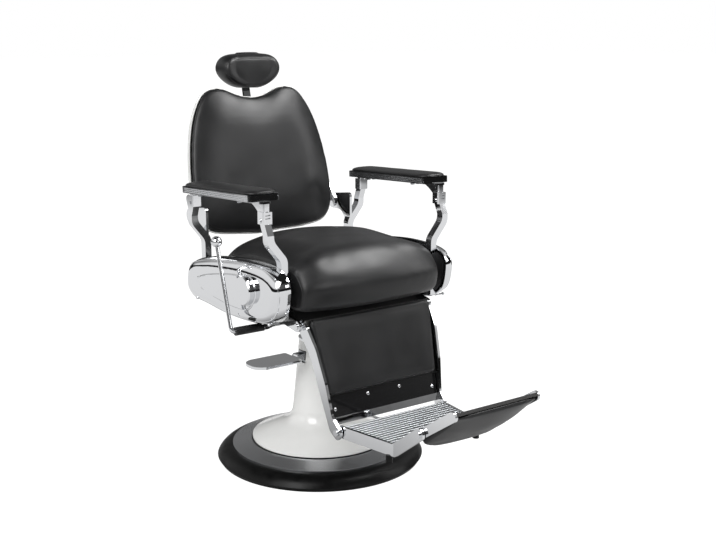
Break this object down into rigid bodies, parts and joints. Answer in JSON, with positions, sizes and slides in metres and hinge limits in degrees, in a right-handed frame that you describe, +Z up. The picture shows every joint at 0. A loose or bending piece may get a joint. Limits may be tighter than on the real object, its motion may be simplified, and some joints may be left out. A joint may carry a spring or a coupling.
{
  "type": "reclining salon chair",
  "caption": "Hydraulic reclining salon chair on a round swivel base, with padded seat, back, headrest and arms, chrome side panels, and a legrest with a folding footrest.",
  "frame": {"origin": "centre of the underside of the round base, on the column's swivel axis, at the floor", "axes": "+Z up along the column, -Y towards the front (the footrest), -X towards the sitter's right (the recline lever)"},
  "size_m": [0.7006, 1.2048, 1.1942],
  "materials": {
    "edge_rubber": "matte black",
    "cast_base": "raw cast",
    "satin_chrome": "satin, turned",
    "white_enamel": "gloss white",
    "white_shell": "gloss white",
    "polished_chrome": "mirror polished",
    "machined_steel": "bright machined",
    "frame_black": "satin black",
    "black_board": "black lacquered plywood",
    "black_leather": "satin black leatherette",
    "kick_gloss": "gloss black",
    "grip_black": "matte black",
    "tread_aluminium": "ribbed, brushed"
  },
  "bodies": {
    "base": {"base_plate": "cast_base", "edge_ring": "edge_rubber", "base_cover": "satin_chrome", "shroud_gasket": "edge_rubber", "column_shroud": "white_enamel", "column_cap": "polished_chrome", "pump_housing": "machined_steel", "pump_bolts": "machined_steel", "pedal_bracket": "machined_steel"},
    "pump_pedal": {"pump_pedal": "polished_chrome"},
    "lift": {"piston_rod": "polished_chrome", "swivel_washer": "machined_steel"},
    "chair": {"seat_mount": "frame_black", "frame_rails": "frame_black", "frame_bolts": "machined_steel", "side_frames": "frame_black", "side_panel_left": "polished_chrome", "side_panel_right": "polished_chrome", "pivot_bosses": "polished_chrome", "panel_screws": "polished_chrome", "seat_board": "black_board", "seat_cushion": "black_leather", "front_post_left": "polished_chrome", "front_post_right": "polished_chrome", "rear_post_left": "polished_chrome", "rear_post_right": "polished_chrome", "arm_tray_left": "polished_chrome", "arm_tray_right": "polished_chrome", "arm_pad_left": "black_leather", "arm_pad_right": "black_leather", "arm_bolts": "machined_steel", "legrest_shaft": "polished_chrome", "back_pins": "polished_chrome", "lock_cylinder": "frame_black"},
    "recline_lever": {"lever_rod": "polished_chrome", "lever_sleeve": "grip_black", "lever_knob": "polished_chrome"},
    "lock_rod": {"lock_rod": "machined_steel"},
    "backrest": {"back_shell": "white_shell", "back_board": "black_board", "back_cushion": "black_leather", "back_hinges": "polished_chrome", "headrest_socket": "machined_steel"},
    "headrest_post": {"headrest_bar": "polished_chrome"},
    "headrest": {"headrest_bracket": "machined_steel", "headrest_cushion": "black_leather"},
    "legrest": {"legrest_bars": "polished_chrome", "legrest_tube": "frame_black", "calf_board": "black_board", "calf_cushion": "black_leather", "kick_plate": "kick_gloss", "kick_screws": "polished_chrome", "legrest_crossbar": "polished_chrome"},
    "footplate": {"foot_plate": "tread_aluminium", "foot_arms": "polished_chrome", "foot_bumpers": "edge_rubber", "foot_bolts": "polished_chrome"},
    "foot_pad": {"pad_arms": "polished_chrome", "pad_board": "black_board", "pad_cushion": "black_leather"}
  },
  "joints": [
    {"name": "seat_lift", "type": "slide", "parent": "base", "child": "lift", "axis": [0, 0, 1], "range_m": [0, 0.15]},
    {"name": "seat_swivel", "type": "hinge", "parent": "lift", "child": "chair", "pos_m": [0, 0, 0.43], "axis": [0, 0, 1], "continuous": true},
    {"name": "pedal_pump", "type": "hinge", "parent": "base", "child": "pump_pedal", "pos_m": [-0.08, 0, 0.318], "axis": [0, -1, 0], "range_deg": [0, 20]},
    {"name": "recline", "type": "hinge", "parent": "chair", "child": "backrest", "pos_m": [0, 0.29, 0.72], "axis": [-1, 0, 0], "range_deg": [0, 45]},
    {"name": "legrest_lift", "type": "hinge", "parent": "chair", "child": "legrest", "pos_m": [0, -0.225, 0.482], "axis": [-1, 0, 0], "range_deg": [0, 54]},
    {"name": "lock_slide", "type": "slide", "parent": "chair", "child": "lock_rod", "axis": [0, -1, 0], "range_m": [0, 0.0455]},
    {"name": "lever_pull", "type": "hinge", "parent": "chair", "child": "recline_lever", "pos_m": [-0.34, -0.066, 0.45], "axis": [-1, 0, 0], "range_deg": [0, 25]},
    {"name": "headrest_height", "type": "slide", "parent": "backrest", "child": "headrest_post", "axis": [0, 0.225, 0.9744], "range_m": [0, 0.08]},
    {"name": "headrest_tilt", "type": "hinge", "parent": "headrest_post", "child": "headrest", "pos_m": [0, 0.4056, 1.13097], "axis": [-1, 0, 0], "range_deg": [-10, 25]},
    {"name": "footplate_fold", "type": "hinge", "parent": "legrest", "child": "footplate", "pos_m": [0, -0.353, 0.209], "axis": [-1, 0, 0], "range_deg": [0, 30]},
    {"name": "foot_pad_flip", "type": "hinge", "parent": "footplate", "child": "foot_pad", "pos_m": [0, -0.648, 0.283], "axis": [-1, 0, 0], "range_deg": [0, 146]}
  ],
  "couplings": [
    {"joint": "legrest_lift", "follows": "recline", "ratio": 1.2},
    {"joint": "lock_slide", "follows": "recline", "m_per_rad": 0.0578}
  ]
}
